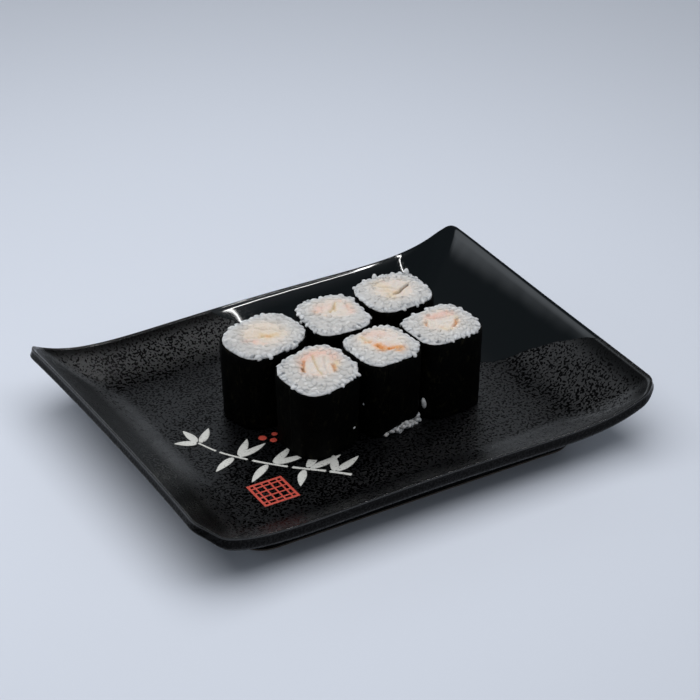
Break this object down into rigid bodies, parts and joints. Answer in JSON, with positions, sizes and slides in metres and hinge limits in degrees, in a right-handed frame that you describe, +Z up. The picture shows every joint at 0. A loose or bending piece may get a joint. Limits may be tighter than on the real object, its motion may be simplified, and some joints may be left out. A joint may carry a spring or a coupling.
{
  "type": "rice rolls on a plate",
  "caption": "Seaweed-wrapped rice rolls with a prawn filling, standing cut side up on a rectangular dark stoneware plate with swept-up corners and a low foot.",
  "frame": {"origin": "centre of the plate on the surface it stands on", "axes": "+X along the plate's long side, +Z up, the front edge faces -Y"},
  "size_m": [0.1782, 0.1344, 0.0409],
  "materials": {
    "glaze": "dark stoneware glaze, matte and speckled with a glossy back corner",
    "seaweed": "thin dried seaweed, near-black green, faintly wrinkled",
    "rice": "moist boiled rice, translucent white",
    "prawn": "boiled prawn flesh, white with a pink edge"
  },
  "bodies": {
    "root": {"plate": "glaze", "nori_1": "seaweed", "nori_2": "seaweed", "nori_3": "seaweed", "nori_4": "seaweed", "nori_5": "seaweed", "nori_6": "seaweed", "rice_1": "rice", "rice_2": "rice", "rice_3": "rice", "rice_4": "rice", "rice_5": "rice", "rice_6": "rice", "prawn_1": "prawn", "prawn_2": "prawn", "prawn_3": "prawn", "prawn_4": "prawn", "prawn_5": "prawn", "prawn_6": "prawn"}
  },
  "joints": []
}
